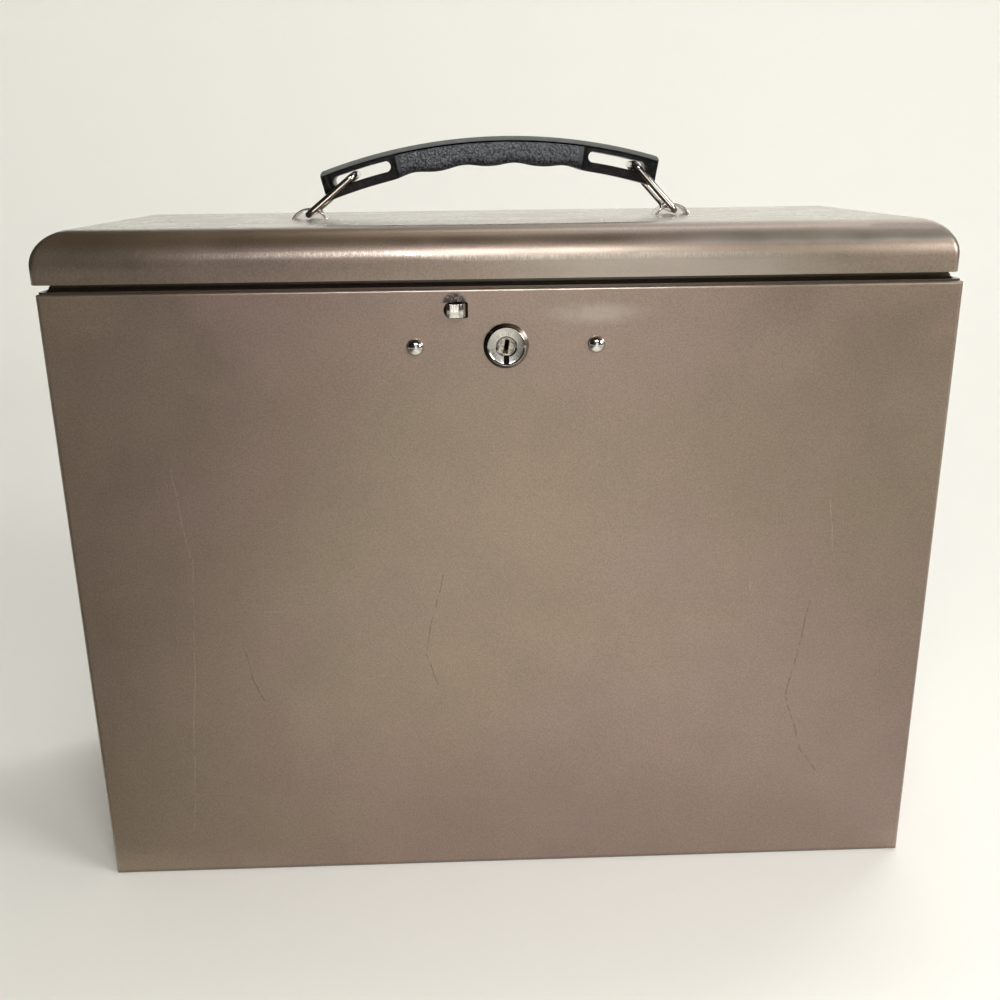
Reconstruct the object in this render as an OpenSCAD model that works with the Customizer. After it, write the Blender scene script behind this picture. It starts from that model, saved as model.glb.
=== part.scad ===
// Deed box: a sheet steel box for papers with a rolled-edge hinged lid, a carrying handle on
// two wire links, a thumb-slide catch and a cam lock.
// Origin at the centre of the underside, +Z up, the front towards -Y. Lengths are millimetres.

/* [Box] */
// Width of the box body
body_w = 370; // [320:1:420]
// Depth of the box body from front to back
body_d = 155; // [130:1:200]
// Height of the box body up to its shoulder
body_h = 268; // [220:1:320]
// Thickness of the steel sheet
sheet = 0.8; // [0.6:0.1:1.0]
// Outer bend radius of the upright corners
corner_r = 2; // [1.4:0.1:3]
// Outer bend radius along the top and bottom edges
edge_r = 1.2; // [1:0.1:2]
// Width of the flange turned in under the base
base_flange_w = 8; // [5:0.5:12]
// Height of the base pan's upturned sides
pan_h = 10; // [6:0.5:20]

/* [Neck] */
// Distance from the outside of the box in to the neck wall
neck_inset = 4.5; // [4:0.1:5]
// Radius of the hollow sweep from the neck's foot into its wall
neck_fillet = 1.8; // [1:0.1:2]
// How far the neck's foot stands back from the edge of the shoulder
foot_set = 1.0; // [0.8:0.1:1.5]

/* [Lid] */
// How much narrower the lid is than the box, on each side
lid_set_side = 0.2; // [0:0.1:1.5]
// How far the lid sits to one side of the box, to the right when positive
lid_shift = -1.9; // [-2:0.1:0]
// How much shallower the lid is than the box, at the front and the back
lid_set_front = 0.5; // [0.3:0.1:0.8]
// Gap between the shoulder and the lower edge of the lid
lid_gap = 3.5; // [3.3:0.1:5]
// Height of the lid from its lower edge to its top
lid_h = 20.5; // [19:0.5:30]
// Outer radius of the roll along the lid's top edges
lid_roll = 14; // [10:0.5:14.5]
// Radius of the lid's upright corners
lid_corner_r = 3; // [2:0.5:6]

/* [Hinges] */
// Distance from a side of the box to the middle of its hinge
hinge_inset = 70; // [50:1:100]
// Width of one hinge
hinge_w = 40; // [30:1:60]
// Outer diameter of the hinge knuckles
knuckle_d = 3.0; // [2.8:0.1:3.1]
// Diameter of the hinge pin
hinge_pin_d = 1.5; // [1.2:0.1:1.6]
// Thickness of the hinge leaves
leaf_t = 0.8; // [0.6:0.1:0.9]
// Height of the hinge leaf inside the box
body_leaf_h = 16; // [10:1:25]

/* [Lock] */
// Distance of the lock's axis below the shoulder
lock_drop = 23; // [22:0.5:30]
// Diameter of the lock barrel
barrel_d = 16; // [14:0.5:16.5]
// Length of the lock barrel behind the front face
barrel_len = 14; // [11:0.5:20]
// Diameter of the lock's bezel
bezel_d = 18.4; // [18:0.1:22]
// Diameter of the bezel's lip
lip_d = 15.6; // [13:0.1:16]
// Height of the bezel above the front face
bezel_h = 3; // [2:0.1:4]
// Diameter of the lock plug
plug_d = 7.5; // [7:0.1:9]
// Tilt of the keyway in the photographed position
key_tilt = 10; // [0:1:20]
// Reach of the lock cam from the lock's axis to its tip
cam_reach = 18; // [16:0.5:20]
// Width of the lock cam
cam_w = 8; // [7:0.5:10]
// Width of the barrel nut across its flats
nut_af = 18; // [17.5:0.5:18.5]

/* [Catch] */
// Distance of the catch slot's middle below the shoulder
slot_drop = 8.5; // [8.3:0.1:8.8]
// Distance of the catch slot's middle to the left of the lock
slot_offset = 20; // [18:0.5:24]
// Width of the catch slot
slot_w = 9.8; // [9:0.1:12]
// Height of the catch slot
slot_h = 6.4; // [5.5:0.1:7]
// How far the thumb tab stands out of the front face
tab_out = 6; // [4:0.1:8]
// Height of the slide bar
slide_h = 7; // [6.5:0.1:7.2]
// Distance between the two dome rivets
rivet_pitch = 73.2; // [66:0.2:80]
// Diameter of a dome rivet's head
rivet_head_d = 7.2; // [6:0.1:8]

/* [Handle] */
// Length of the handle between its outer ends
handle_len = 152.2; // [148:0.2:156]
// Radius of the arch along the top of the handle
arch_r = 246; // [235:1:280]
// Height of the handle's crown above the lid
crown_h = 34.5; // [33.5:0.1:36]
// Thickness of the handle from the top of its arch to the underside
handle_t = 12.6; // [12:0.1:14]
// Width of the handle's end sections, front to back
core_w = 15; // [12:0.5:16]
// Width of the grip, front to back
grip_w = 21; // [18:0.5:26]
// Length of the grip along the arch
grip_len = 86; // [76:1:90]
// Thickness of the band along the top of the handle
band_t = 1.8; // [1.2:0.1:2.4]
// Height of the slots that the links run in
link_slot_h = 4.4; // [4.3:0.1:4.8]
// Length of the slots that the links run in
link_slot_len = 26.8; // [24:0.2:27]
// Sideways shift of the handle as it stands in the photograph
handle_shift = -4.2; // [-4.4:0.2:-2]
// Tilt of the handle as it stands in the photograph
handle_tilt = 1.9; // [0:0.1:2.2]
// Diameter of the link wire
wire_d = 2.8; // [2.4:0.1:2.9]
// Length of a link between its two cross bars
link_reach = 27.6; // [27.2:0.1:28.5]
// Width of a link between its side wires
link_w = 22.6; // [21.5:0.1:26]
// Distance between the middles of the two saddles
saddle_pitch = 165.2; // [163:0.2:168]
// How far the pair of saddles sits to one side of the box, to the right when positive
saddle_shift = -3; // [-4:0.2:-1]
// Length of a saddle's arch along the lid
saddle_len = 16; // [15:0.5:18]
// Height of a saddle's arch above the lid
saddle_h = 4.8; // [4.6:0.1:6]
// Width of the saddle strip, front to back
saddle_w = 11; // [8:0.5:14]

/* [Hidden] */
$fn = 64;

// Running clearance between a pin and its bore, on the radius
fit = 0.05;
// Free clearance between parts that slide past each other
play = 0.3;
// Free clearance of a hole round a fixed piece
hole_play = 0.1;
// Overshoot of a cutting body past the face that it opens
cut = 1;

// Places worked out from the box
front_y = -body_d / 2;
back_y = body_d / 2;
panel_y = front_y + sheet;
neck_in = neck_inset + sheet;
lid_w = body_w - 2 * lid_set_side;
lid_d = body_d - 2 * lid_set_front;
lid_z0 = body_h + lid_gap;
lid_z1 = lid_z0 + lid_h;
lid_under = lid_z1 - sheet;
roll_z = lid_z1 - lid_roll;
// The neck's top edge lies under the inside of the lid's roll, which rests on it
neck_out_x = body_w / 2 - neck_inset - (lid_w / 2 - lid_roll - abs(lid_shift));
neck_out_y = body_d / 2 - neck_inset - (lid_d / 2 - lid_roll);
neck_top = roll_z + sqrt(pow(lid_roll - sheet, 2) - pow(max(neck_out_x, neck_out_y), 2)) - play;

// Hinge axis, in the middle of the gap under the lid's back edge
hinge_y = back_y - sheet - 0.4;
hinge_z = body_h + lid_gap / 2;
hinge_pitch = body_w - 2 * hinge_inset;
knuckle_r = knuckle_d / 2;
knuckle_gap = 0.2;
lid_knuckle_w = hinge_w * 0.4;
pin_head_t = 0.6;
pin_head_r = knuckle_r - 0.3;
hinge_cut_w = hinge_w + 2 * (pin_head_t + fit + play);
leaf_top = body_h - 0.4;
lid_leaf_top = roll_z;

// Lock and catch places
lock_z = body_h - lock_drop;
slot_z = body_h - slot_drop;
slot_x = -slot_offset;
stem_t = 1.2;
stem_gap = 1.1;
stem_proud = 0.8;
stem_x = slot_x + slot_w / 2 - stem_gap - stem_t;
slide_t = 1.2;
slide_y = panel_y + play;
spring_space = 1.2;
channel_y = slide_y + slide_t + spring_space;
channel_z0 = slot_z - slide_h / 2 - play;
channel_z1 = slot_z + slide_h / 2 + play;
rivet_shank_r = 1.5;
rivet_tail_r = 2.6;
rivet_tail_h = 1;
dome_h = 3;
plate_margin = 7.5;
plate_w = rivet_pitch + 2 * plate_margin;
plate_edge = 1;
plate_z0 = lock_z - barrel_d / 2 - plate_edge;
plate_z1 = body_h - sheet - 2 * play;
cam_t = 1.4;
cam_y = front_y + barrel_len + 0.3;
tail_af = 5.6;
tail_z = cam_y + cam_t - front_y;
screw_r = 1.2;
screw_len = 5;
wafer_t = 0.5;
wafer_count = 4;
wafer_step = 2.4;
key_w = 1.5;
key_h = 5.6;
key_depth = wafer_step * wafer_count;
nut_h = 3;
dish_depth = 1;

// The catch slides until its stem meets the round left end of the slot
slot_end = sqrt(pow(slot_h / 2, 2) - pow(slot_h / 2 - play, 2));
catch_travel = slot_w - stem_gap - stem_t - slot_h / 2 + slot_end - play;

// Lug of the catch, and the strike that hangs from the lid round the lock
strike_t = 1.2;
strike_y = cam_y + (cam_t - strike_t) / 2;
lug_h = 3.4;
lug_t = slide_t;
lug_step = 4.5;
lug_x = stem_x - lug_step - lug_t;
lug_back = strike_y + strike_t + 1.5;
bar_left = 6;
bar_right = 24;
spring_len = 20;
spring_x = (lug_x + lug_t + stem_x + bar_right - catch_travel) / 2;
swing_gap = 0.8;
strike_wall = 6;
strike_foot = 14;
leg_x1 = lug_x - swing_gap;
notch_depth = catch_travel + 2 * play;
leg_w = notch_depth + strike_wall;
notch_h = lug_h + 4 * play;
hook_x0 = cam_reach + swing_gap;
lip_x0 = hook_x0 - 1.4 * strike_wall;
lip_z1 = lock_z - cam_w / 2 - swing_gap;
web_z = max(lock_z + cam_reach + 3 * swing_gap, slot_z + strike_wall);

// Handle geometry, in the plane of the links
saddle_t = 0.9;
bar_r = wire_d / 2;
saddle_r = (pow(saddle_len / 2, 2) + pow(saddle_h, 2)) / (2 * saddle_h);
leg_mid = saddle_len / 2 - saddle_t / 2 + 0.3;
bar_z = lid_z1 + bar_r + 2 * play;
slot_top_wall = 4.0;
slot_mid_r = arch_r - slot_top_wall - link_slot_h / 2;
bar_seat = link_slot_h / 2 - bar_r - play;
arch_x = handle_shift + arch_r * sin(handle_tilt);
arch_z = lid_z1 + crown_h - arch_r * cos(handle_tilt);
end_angle = asin(handle_len / 2 / arch_r);
grip_angle = grip_len / 2 / arch_r * 180 / PI;
slot_angle = link_slot_len / 2 / slot_mid_r * 180 / PI;
slot_mid_angle = (end_angle + grip_angle) / 2;
slot_round = link_slot_h / 2 / slot_mid_r * 180 / PI;
wire_bend_r = 3.2;
band_w = link_w - wire_d - 1.6;
hollow_count = 4;
hollow_depth = 1.3;
hollow_pitch = grip_len / hollow_count * 1.06;
hollow_angle = hollow_pitch / (arch_r - handle_t) * 180 / PI;
hollow_r = (pow(hollow_pitch / 2, 2) + pow(hollow_depth, 2)) / (2 * hollow_depth);
end_lean = 11.5;
end_extra = 1;

// Middle of a saddle along the lid
function saddle_x(side) = saddle_shift + side * saddle_pitch / 2;

// Where a link's top bar lies: on the link's circle round its saddle and on the slot's arc
function bar_point(side) =
    let (p = [saddle_x(side), bar_z],
         c = [arch_x, arch_z],
         d = norm(c - p),
         u = (c - p) / d,
         r = slot_mid_r + bar_seat,
         a = (link_reach * link_reach - r * r + d * d) / (2 * d),
         h = sqrt(link_reach * link_reach - a * a))
    p + a * u + side * h * [u[1], -u[0]];
function link_angle(side) =
    let (b = bar_point(side))
    atan2(b[1] - bar_z, side * (saddle_x(side) - b[0]));

// A rectangle with round corners, centred
module round_rect(w, d, r) {
    hull_w = w - 2 * r;
    hull_d = d - 2 * r;
    square([hull_w, d], center = true);
    square([w, hull_d], center = true);
    for (x = [-1, 1], y = [-1, 1])
        translate([x * hull_w / 2, y * hull_d / 2])
            circle(r);
}

// A ring between two rectangles
module frame_ring(w, d, r, inset) {
    difference() {
        round_rect(w, d, r);
        round_rect(w - 2 * inset, d - 2 * inset, max(r - inset, 0.4));
    }
}

// Section of a pan with its two upper corners round
module roof_section(w, h, r) {
    translate([-w / 2, 0])
        square([w, h - r]);
    translate([-w / 2 + r, h - r - cut])
        square([w - 2 * r, r + cut]);
    for (x = [-1, 1])
        translate([x * (w / 2 - r), h - r])
            circle(r);
}

// Local frame on the front face: x to the right, y up, z out of the face
module on_front(x, z) {
    translate([x, front_y, z])
        rotate([90, 0, 0])
            children();
}

// Box between two corners
module block(a, b) {
    translate(a)
        cube(b - a);
}

// A solid with its upright corners rounded and its long edges rounded at top and bottom
module bent_box(w, d, h, r, e) {
    intersection() {
        linear_extrude(h)
            round_rect(w, d, r);
        translate([0, 0, h / 2])
            rotate([90, 0, 0])
                linear_extrude(d, center = true)
                    round_rect(w, h, e);
        translate([0, 0, h / 2])
            rotate([90, 0, 90])
                linear_extrude(w, center = true)
                    round_rect(d, h, e);
    }
}

// Body: one bent sheet, turned in at the top as a shoulder and at the bottom as a flange
module body_wrap() color("#8f7f70") {
    difference() {
        bent_box(body_w, body_d, body_h, corner_r, edge_r);
        translate([0, 0, sheet])
            linear_extrude(body_h - 2 * sheet)
                round_rect(body_w - 2 * sheet, body_d - 2 * sheet, corner_r - sheet);
        translate([0, 0, body_h - sheet - cut])
            linear_extrude(sheet + 2 * cut)
                round_rect(body_w - 2 * neck_in, body_d - 2 * neck_in, 0.6);
        translate([0, 0, -cut])
            linear_extrude(sheet + 2 * cut)
                round_rect(body_w - 2 * base_flange_w, body_d - 2 * base_flange_w, 2);
        for (side = [-1, 1])
            hinge_notch(side, body_h - 2);
        on_front(0, lock_z)
            cylinder(r = barrel_d / 2 + hole_play, h = 4 * sheet, center = true);
        for (side = [-1, 1])
            on_front(side * rivet_pitch / 2, lock_z)
                cylinder(r = rivet_shank_r + fit, h = 4 * sheet, center = true);
        on_front(slot_x, slot_z)
            linear_extrude(4 * sheet, center = true)
                catch_slot();
    }
}

// Outline of the catch slot: square at the right, round at the left
module catch_slot() {
    small_r = 0.8;
    big_r = slot_h / 2;
    translate([-slot_w / 2 + big_r, 0])
        circle(big_r);
    translate([-slot_w / 2 + big_r, -big_r])
        square([slot_w - big_r - small_r, slot_h]);
    translate([-slot_w / 2 + big_r, -big_r + small_r])
        square([slot_w - big_r, slot_h - 2 * small_r]);
    for (y = [-1, 1])
        translate([slot_w / 2 - small_r, y * (big_r - small_r)])
            circle(small_r);
}

// Room for a hinge in the shoulder and in the neck's foot
module hinge_notch(side, z0) {
    block([side * hinge_pitch / 2 - hinge_cut_w / 2, back_y - neck_inset, z0],
          [side * hinge_pitch / 2 + hinge_cut_w / 2, back_y + cut, lid_z0 + cut]);
}

// Base: a dished pan whose rim lies on the flange and whose sides stand against the body
module base_pan() color("#7d6e60") {
    rim_w = body_w - 2 * sheet;
    rim_d = body_d - 2 * sheet;
    dish_w = body_w - 2 * base_flange_w - 2 * play;
    dish_d = body_d - 2 * base_flange_w - 2 * play;
    difference() {
        union() {
            translate([0, 0, sheet])
                linear_extrude(pan_h)
                    round_rect(rim_w, rim_d, corner_r - sheet);
            linear_extrude(2 * sheet)
                round_rect(dish_w, dish_d, 2 - play);
        }
        translate([0, 0, 2 * sheet])
            linear_extrude(pan_h)
                round_rect(rim_w - 2 * sheet, rim_d - 2 * sheet, 0.4);
        translate([0, 0, sheet])
            linear_extrude(pan_h)
                round_rect(dish_w - 2 * sheet, dish_d - 2 * sheet, 1);
    }
}

// Neck: an angle ring on the shoulder, swept up from its foot into the wall under the lid
module neck_rim() color("#6f6154") {
    foot_w = body_w - 2 * foot_set;
    foot_d = body_d - 2 * foot_set;
    wall_w = body_w - 2 * neck_inset;
    wall_d = body_d - 2 * neck_inset;
    sweep_w = wall_w + 2 * neck_fillet;
    sweep_d = wall_d + 2 * neck_fillet;
    sweep_z = body_h + sheet + neck_fillet;
    difference() {
        union() {
            translate([0, 0, body_h])
                linear_extrude(sheet)
                    round_rect(foot_w, foot_d, corner_r);
            translate([0, 0, body_h])
                linear_extrude(neck_top - body_h)
                    round_rect(wall_w, wall_d, 1.4);
            difference() {
                translate([0, 0, body_h])
                    linear_extrude(sheet + neck_fillet)
                        round_rect(sweep_w, sweep_d, 1.6);
                for (side = [-1, 1]) {
                    translate([0, side * sweep_d / 2, sweep_z])
                        rotate([0, 90, 0])
                            cylinder(r = neck_fillet, h = body_w, center = true);
                    translate([side * sweep_w / 2, 0, sweep_z])
                        rotate([90, 0, 0])
                            cylinder(r = neck_fillet, h = body_d, center = true);
                }
            }
        }
        translate([0, 0, body_h - cut])
            linear_extrude(neck_top - body_h + 2 * cut)
                round_rect(wall_w - 2 * sheet, wall_d - 2 * sheet, 0.6);
        for (side = [-1, 1])
            hinge_notch(side, body_h - cut);
    }
}

// One tube of a hinge knuckle from x0 to x1
module knuckle(x0, x1) {
    translate([x0, hinge_y, hinge_z])
        rotate([0, 90, 0])
            cylinder(r = knuckle_r, h = x1 - x0);
}

module pin_bore(x) {
    translate([x, hinge_y, hinge_z])
        rotate([0, 90, 0])
            cylinder(r = hinge_pin_d / 2 + fit, h = hinge_w + 2 * cut, center = true);
}

// Body half of a hinge: a leaf inside the back wall with a knuckle at each end
module body_hinge_leaf(side) color("#9a9a98") {
    x = side * hinge_pitch / 2;
    y1 = back_y - sheet;
    inner_x = lid_knuckle_w / 2 + knuckle_gap;
    difference() {
        union() {
            block([x - hinge_w / 2, y1 - leaf_t, leaf_top - body_leaf_h],
                  [x + hinge_w / 2, y1, leaf_top]);
            for (end = [-1, 1]) {
                x0 = min(end * inner_x, end * hinge_w / 2);
                x1 = max(end * inner_x, end * hinge_w / 2);
                knuckle(x + x0, x + x1);
                block([x + x0, y1 - leaf_t, leaf_top - cut],
                      [x + x1, y1, hinge_z - knuckle_r * 0.4]);
            }
        }
        pin_bore(x);
    }
}

// Lid half of a hinge: a leaf inside the lid's back wall with one middle knuckle
module lid_hinge_leaf(side) color("#9a9a98") {
    x = side * hinge_pitch / 2;
    y1 = lid_d / 2 - sheet;
    difference() {
        union() {
            block([x - hinge_w / 2, y1 - leaf_t, lid_z0],
                  [x + hinge_w / 2, y1, lid_leaf_top]);
            knuckle(x - lid_knuckle_w / 2, x + lid_knuckle_w / 2);
            block([x - lid_knuckle_w / 2, y1 - leaf_t, hinge_z + knuckle_r * 0.4],
                  [x + lid_knuckle_w / 2, y1, lid_z0 + cut]);
        }
        pin_bore(x);
    }
}

// Hinge pin, headed at both ends
module hinge_pin(side) color("#b9b9b6") {
    translate([side * hinge_pitch / 2, hinge_y, hinge_z])
        rotate([0, 90, 0]) {
            cylinder(r = hinge_pin_d / 2, h = hinge_w + 2 * fit + pin_head_t, center = true);
            for (end = [-1, 1])
                translate([0, 0, end * (hinge_w / 2 + fit + pin_head_t / 2)])
                    cylinder(r = pin_head_r, h = pin_head_t, center = true);
        }
}

// Plate behind the front: flat round the lock, with a raised channel that guides the slide
module latch_plate() color("#a8a8a4") {
    x1 = plate_w / 2;
    lug_slot_x0 = lug_x - catch_travel - 0.7;
    lug_slot_x1 = lug_x + lug_t + 0.7;
    difference() {
        union() {
            block([-x1, panel_y, plate_z0], [x1, panel_y + sheet, channel_z0 - sheet + cut / 2]);
            block([-x1, panel_y, channel_z1 + sheet / 2], [x1, panel_y + sheet, plate_z1]);
            block([-x1, panel_y, channel_z0 - sheet], [x1, channel_y + sheet, channel_z1 + sheet]);
        }
        block([-x1 - cut, panel_y - cut, channel_z0], [x1 + cut, channel_y, channel_z1]);
        block([lug_slot_x0, panel_y, slot_z - lug_h / 2 - 0.5],
              [lug_slot_x1, channel_y + 2 * sheet, slot_z + lug_h / 2 + 0.5]);
        on_front(0, lock_z)
            cylinder(r = barrel_d / 2 + hole_play, h = 8 * sheet, center = true);
        for (side = [-1, 1])
            on_front(side * rivet_pitch / 2, lock_z)
                cylinder(r = rivet_shank_r + fit, h = 8 * sheet, center = true);
    }
}

// Dome rivet that holds the latch plate
module dome_rivet(side) color("#c9c6c0") {
    head_r = rivet_head_d / 2;
    ball_r = (head_r * head_r + dome_h * dome_h) / (2 * dome_h);
    on_front(side * rivet_pitch / 2, lock_z) {
        intersection() {
            translate([0, 0, dome_h - ball_r])
                sphere(ball_r);
            cylinder(r = head_r + cut, h = dome_h + cut);
        }
        translate([0, 0, -2 * sheet - rivet_tail_h / 2])
            cylinder(r = rivet_shank_r, h = 2 * sheet + (rivet_tail_h + dome_h) / 2);
        translate([0, 0, -2 * sheet - rivet_tail_h])
            cylinder(r = rivet_tail_r, h = rivet_tail_h);
    }
}

// Bowed leaf spring in the channel that holds the slide where it is put
module friction_spring() color("#b8bcc0") {
    spring_t = 0.35;
    bow = spring_space - spring_t - 3 * fit;
    r = (pow(spring_len / 2, 2) + bow * bow) / (2 * bow);
    translate([spring_x, channel_y - fit - bow + r - spring_t, slot_z])
        linear_extrude(slide_h - 2 * lug_t, center = true)
            intersection() {
                difference() {
                    circle(r);
                    circle(r - spring_t);
                }
                translate([0, -r + bow / 2])
                    square([spring_len, bow + 2 * spring_t], center = true);
            }
}

// Lock barrel with its coned bezel, dished face and key notch
module lock_barrel() color("#cfccc6") {
    bore_r = plug_d / 2 + fit;
    on_front(0, lock_z)
        difference() {
            rotate_extrude()
                polygon([[bore_r, -barrel_len], [barrel_d / 2, -barrel_len], [barrel_d / 2, 0],
                    [bezel_d / 2, 0], [bezel_d / 2, 0.7], [lip_d / 2, bezel_h],
                    [lip_d / 2 - 0.6, bezel_h], [bore_r + 0.6, bezel_h - dish_depth],
                    [bore_r, bezel_h - dish_depth]]);
            block([-1.1, -lip_d / 2, bezel_h - 2 * dish_depth], [1.1, -bore_r + 0.2, bezel_h + cut]);
        }
}

// Hexagonal nut that clamps the barrel through the panel and the plate
module barrel_nut() color("#b3b1ab") {
    on_front(0, lock_z)
        translate([0, 0, -2 * sheet - nut_h])
            difference() {
                cylinder(r = nut_af / 2 / cos(30), h = nut_h, $fn = 6);
                translate([0, 0, -cut])
                    cylinder(r = barrel_d / 2 + fit, h = nut_h + 2 * cut);
            }
}

// Rotating plug with its keyway, wafer slots and squared tail
module lock_plug() color("#bdb9b1") {
    face = bezel_h - dish_depth - 0.2;
    on_front(0, lock_z)
        difference() {
            union() {
                translate([0, 0, -barrel_len])
                    cylinder(r = plug_d / 2, h = barrel_len + face);
                translate([0, 0, -tail_z])
                    linear_extrude(tail_z - barrel_len + cut)
                        intersection() {
                            circle(plug_d / 2);
                            square(tail_af, center = true);
                        }
            }
            rotate([0, 0, -key_tilt])
                block([-key_w / 2, -key_h / 2, -key_depth], [key_w / 2, key_h / 2, face + cut]);
            for (i = [0 : wafer_count - 1])
                rotate([0, 0, -key_tilt])
                    translate([0, 0, -1 - i * wafer_step])
                        cube([3.2, plug_d + cut, wafer_t + 2 * fit], center = true);
            translate([0, 0, -tail_z - cut])
                cylinder(r = screw_r + fit, h = screw_len + cut + play);
        }
}

// Wafers that slide across the plug, each with its key window
module lock_wafers() color("#c8a55a") {
    on_front(0, lock_z)
        rotate([0, 0, -key_tilt])
            for (i = [0 : wafer_count - 1])
                translate([0, 0, -1 - i * wafer_step])
                    difference() {
                        intersection() {
                            cube([3.2 - 2 * fit, plug_d, wafer_t], center = true);
                            cylinder(r = plug_d / 2 - fit, h = 2, center = true);
                        }
                        cube([key_w, key_h - 1, 2], center = true);
                    }
}

// Cam on the plug's tail: it stands up when free and turns under the strike's hook to lock
module lock_cam() color("#aeb0b2") {
    tip_r = cam_w / 2;
    translate([0, cam_y + cam_t, lock_z])
        rotate([90, 0, 0])
            linear_extrude(cam_t)
                difference() {
                    intersection() {
                        union() {
                            circle(tip_r + 1);
                            translate([-tip_r, 0])
                                square([cam_w, cam_reach]);
                        }
                        circle(cam_reach);
                    }
                    square(tail_af + 2 * fit, center = true);
                }
}

module cam_screw() color("#c4c4c0") {
    translate([0, cam_y + cam_t, lock_z])
        rotate([-90, 0, 0])
            difference() {
                union() {
                    cylinder(r = 4.2, h = 0.6);
                    cylinder(r = 2.6, h = 2);
                    translate([0, 0, -screw_len])
                        cylinder(r = screw_r, h = screw_len + cut / 2);
                }
                translate([0, 0, 2])
                    cube([6, 0.7, 1.6], center = true);
            }
}

// Catch: a flat slide with a curled thumb tab in front and a lug behind
module catch_slide() color("#cbc8c2") {
    bar_x0 = lug_x - bar_left;
    bar_x1 = stem_x + bar_right;
    curl_r = tab_out - stem_proud;
    stem_h = slot_h - 2 * play;
    block([bar_x0, slide_y, slot_z - slide_h / 2],
          [bar_x1, slide_y + slide_t, slot_z + slide_h / 2]);
    block([lug_x, slide_y + slide_t / 2, slot_z - lug_h / 2],
          [lug_x + lug_t, lug_back, slot_z + lug_h / 2]);
    block([stem_x, front_y - stem_proud, slot_z - stem_h / 2],
          [stem_x + stem_t, slide_y + slide_t / 2, slot_z + stem_h / 2]);
    translate([stem_x + stem_t - curl_r, front_y - stem_proud, slot_z])
        linear_extrude(stem_h, center = true)
            difference() {
                intersection() {
                    circle(curl_r);
                    translate([0, -curl_r])
                        square(curl_r);
                }
                circle(curl_r - stem_t);
            }
    translate([stem_x + stem_t - curl_r, front_y - stem_proud - curl_r + stem_t / 2, slot_z])
        cylinder(r = stem_t / 2, h = stem_h * 0.62, center = true);
}

// Outside of the lid, rolled over along all four top edges
module lid_form(w, d, h, r, corner) {
    intersection() {
        linear_extrude(h)
            round_rect(w, d, corner);
        rotate([90, 0, 0])
            linear_extrude(d, center = true)
                roof_section(w, h, r);
        rotate([90, 0, 90])
            linear_extrude(w, center = true)
                roof_section(d, h, r);
    }
}

// Lid: a pressed shell open underneath, slotted for the legs of the saddles
module lid_shell() color("#978777") {
    difference() {
        translate([lid_shift, 0, lid_z0])
            lid_form(lid_w, lid_d, lid_h, lid_roll, lid_corner_r);
        translate([lid_shift, 0, lid_z0 - cut])
            lid_form(lid_w - 2 * sheet, lid_d - 2 * sheet, lid_h + cut - sheet,
                     lid_roll - sheet, lid_corner_r - sheet);
        for (side = [-1, 1], leg = [-1, 1])
            translate([saddle_x(side) + leg * leg_mid, 0, lid_z1 - sheet / 2])
                cube([saddle_t + 2 * hole_play, saddle_w + 2 * hole_play, 4 * sheet], center = true);
    }
}

// Strike: hangs from the lid behind the lock, with a notch for the lug and a hook for the cam
module lid_strike() color("#a3a29d") {
    notch_z0 = slot_z - notch_h / 2;
    translate([0, strike_y + strike_t, 0])
        rotate([90, 0, 0])
            linear_extrude(strike_t)
                difference() {
                    union() {
                        translate([leg_x1 - leg_w, web_z])
                            square([hook_x0 + strike_wall - leg_x1 + leg_w, lid_under - web_z]);
                        translate([leg_x1 - leg_w, notch_z0 - strike_wall])
                            square([leg_w, web_z - notch_z0 + strike_wall + cut]);
                        translate([hook_x0, lip_z1 - strike_wall])
                            square([strike_wall, web_z - lip_z1 + strike_wall + cut]);
                        translate([lip_x0, lip_z1 - strike_wall])
                            square([hook_x0 + cut - lip_x0, strike_wall]);
                    }
                    translate([leg_x1 - notch_depth, notch_z0])
                        square([notch_depth + cut, notch_h]);
                }
    block([leg_x1 - leg_w, strike_y, lid_under - strike_t],
          [hook_x0 + strike_wall, strike_y + strike_foot, lid_under]);
}

// Saddle: an arched strip whose legs pass through the lid and are clenched under it
module saddle(side) color("#c6c3bd") {
    tab_len = 5;
    translate([saddle_x(side), 0, 0])
        rotate([90, 0, 0])
            linear_extrude(saddle_w, center = true) {
                translate([0, lid_z1])
                    difference() {
                        intersection() {
                            translate([0, saddle_h - saddle_r])
                                circle(saddle_r);
                            translate([-saddle_len / 2 - cut, 0])
                                square([saddle_len + 2 * cut, saddle_h + cut]);
                        }
                        translate([0, saddle_h - saddle_r])
                            circle(saddle_r - saddle_t);
                    }
                for (leg = [-1, 1]) {
                    translate([leg * leg_mid - saddle_t / 2, lid_under - saddle_t])
                        square([saddle_t, sheet + saddle_t + 0.6]);
                    translate([leg * (leg_mid + tab_len / 2 - saddle_t / 2), lid_under - saddle_t / 2])
                        square([tab_len, saddle_t], center = true);
                }
            }
}

// Link: a closed wire ring from under a saddle to the handle's slot
module link(side) color("#cdcac4") {
    bend = wire_bend_r;
    translate([saddle_x(side), 0, bar_z])
        rotate([0, side > 0 ? link_angle(side) + 180 : -link_angle(side), 0]) {
            for (end = [0, 1])
                translate([end * link_reach, 0, 0])
                    rotate([90, 0, 0])
                        cylinder(r = bar_r, h = link_w - 2 * bend, center = true);
            for (s = [-1, 1]) {
                translate([bend, s * link_w / 2, 0])
                    rotate([0, 90, 0])
                        cylinder(r = bar_r, h = link_reach - 2 * bend);
                for (end = [0, 1])
                    translate([end == 0 ? bend : link_reach - bend, s * (link_w / 2 - bend), 0])
                        rotate([0, 0, s > 0 ? (end == 0 ? 90 : 0) : (end == 0 ? 180 : 270)])
                            rotate_extrude(angle = 90)
                                translate([bend, 0])
                                    circle(bar_r);
            }
        }
}

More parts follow.
